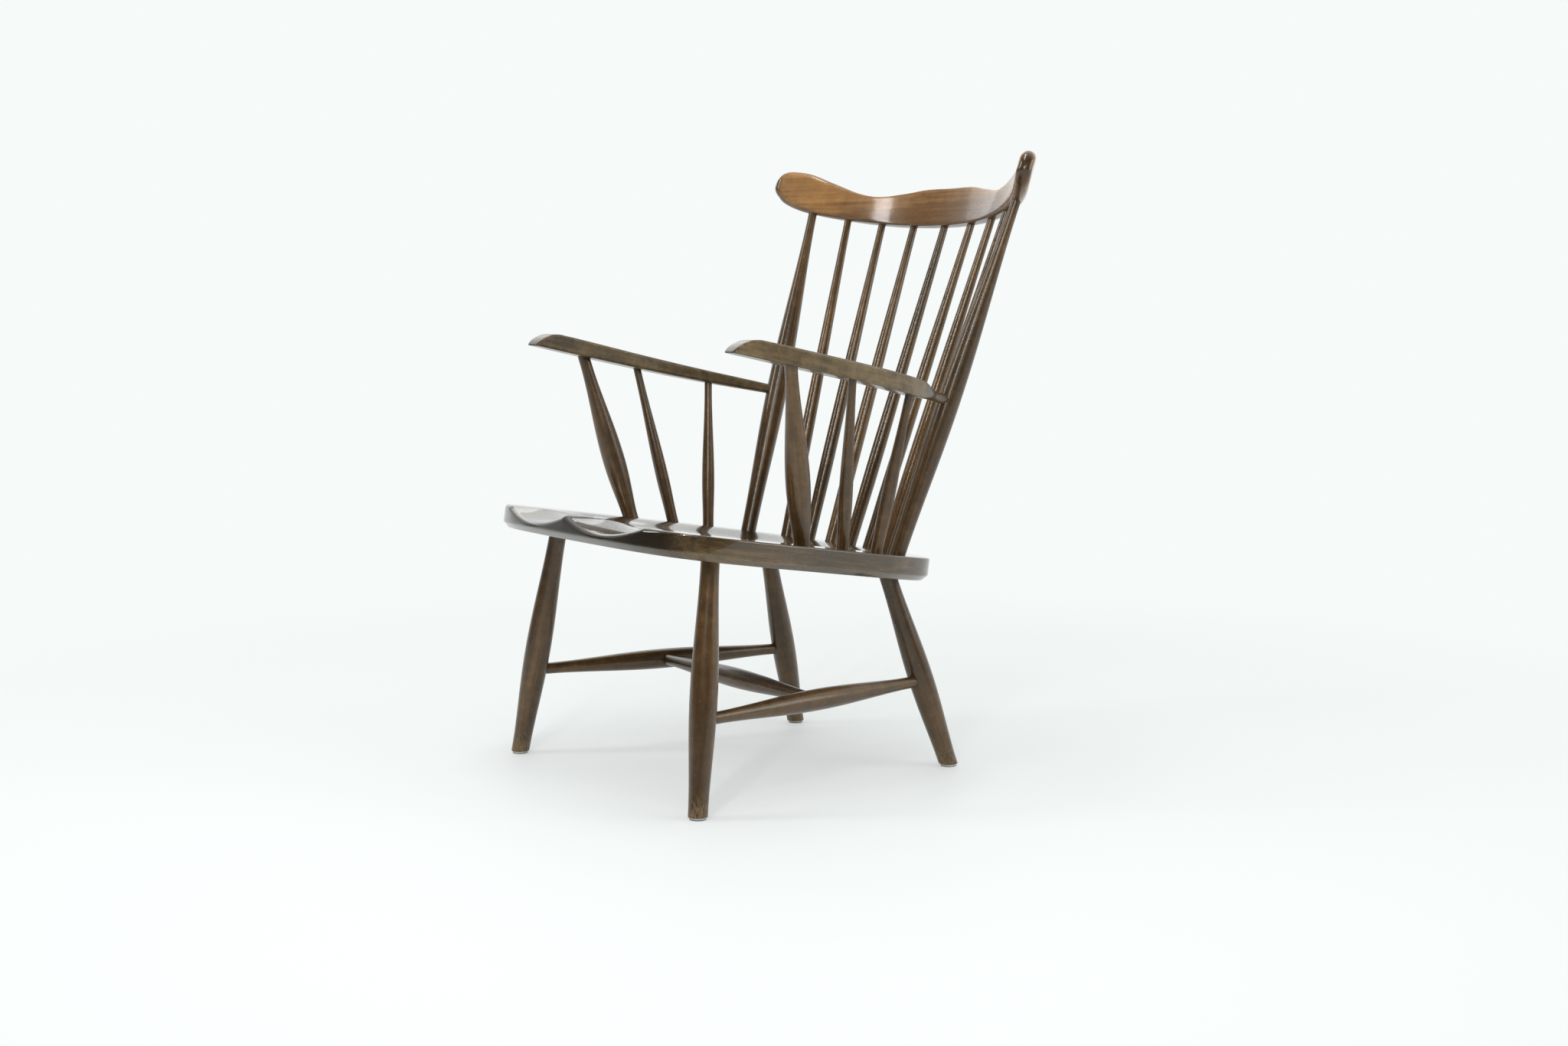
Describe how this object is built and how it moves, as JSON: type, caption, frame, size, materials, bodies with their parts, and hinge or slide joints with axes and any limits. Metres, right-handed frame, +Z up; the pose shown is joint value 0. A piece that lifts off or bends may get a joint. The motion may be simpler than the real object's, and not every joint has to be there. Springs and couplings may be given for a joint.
{
  "type": "spindle back armchair",
  "caption": "Wooden armchair with a carved plank seat, turned splayed legs and stretchers, a back of turned spindles under a bent crest rail, and sawn arms on turned supports.",
  "frame": {"origin": "on the floor, under the middle of the chair's bounding box", "axes": "+Z up, -Y is the way the sitter faces, +X is the sitter's left"},
  "size_m": [0.6798, 0.7851, 0.9859],
  "materials": {
    "stained_beech_seat": "dark brown stain, glossy lacquer",
    "stained_beech_turned": "dark brown stain, glossy lacquer",
    "stained_beech_crest": "warm brown stain, glossy lacquer",
    "stained_beech_arm": "dark brown stain, worn satin lacquer",
    "glide_plastic": "pale, matte"
  },
  "bodies": {
    "root": {"arm_left": "stained_beech_arm", "arm_right": "stained_beech_arm", "arm_support_front_left": "stained_beech_turned", "arm_support_front_right": "stained_beech_turned", "arm_support_middle_left": "stained_beech_turned", "arm_support_middle_right": "stained_beech_turned", "arm_support_rear_left": "stained_beech_turned", "arm_support_rear_right": "stained_beech_turned", "back_glide_left": "glide_plastic", "back_glide_right": "glide_plastic", "back_leg_left": "stained_beech_turned", "back_leg_right": "stained_beech_turned", "back_post_left": "stained_beech_turned", "back_post_right": "stained_beech_turned", "back_spindle_1": "stained_beech_turned", "back_spindle_2": "stained_beech_turned", "back_spindle_3": "stained_beech_turned", "back_spindle_4": "stained_beech_turned", "back_spindle_5": "stained_beech_turned", "back_spindle_6": "stained_beech_turned", "back_spindle_7": "stained_beech_turned", "crest_rail": "stained_beech_crest", "cross_stretcher": "stained_beech_turned", "front_glide_left": "glide_plastic", "front_glide_right": "glide_plastic", "front_leg_left": "stained_beech_turned", "front_leg_right": "stained_beech_turned", "seat": "stained_beech_seat", "side_stretcher_left": "stained_beech_turned", "side_stretcher_right": "stained_beech_turned"}
  },
  "joints": []
}
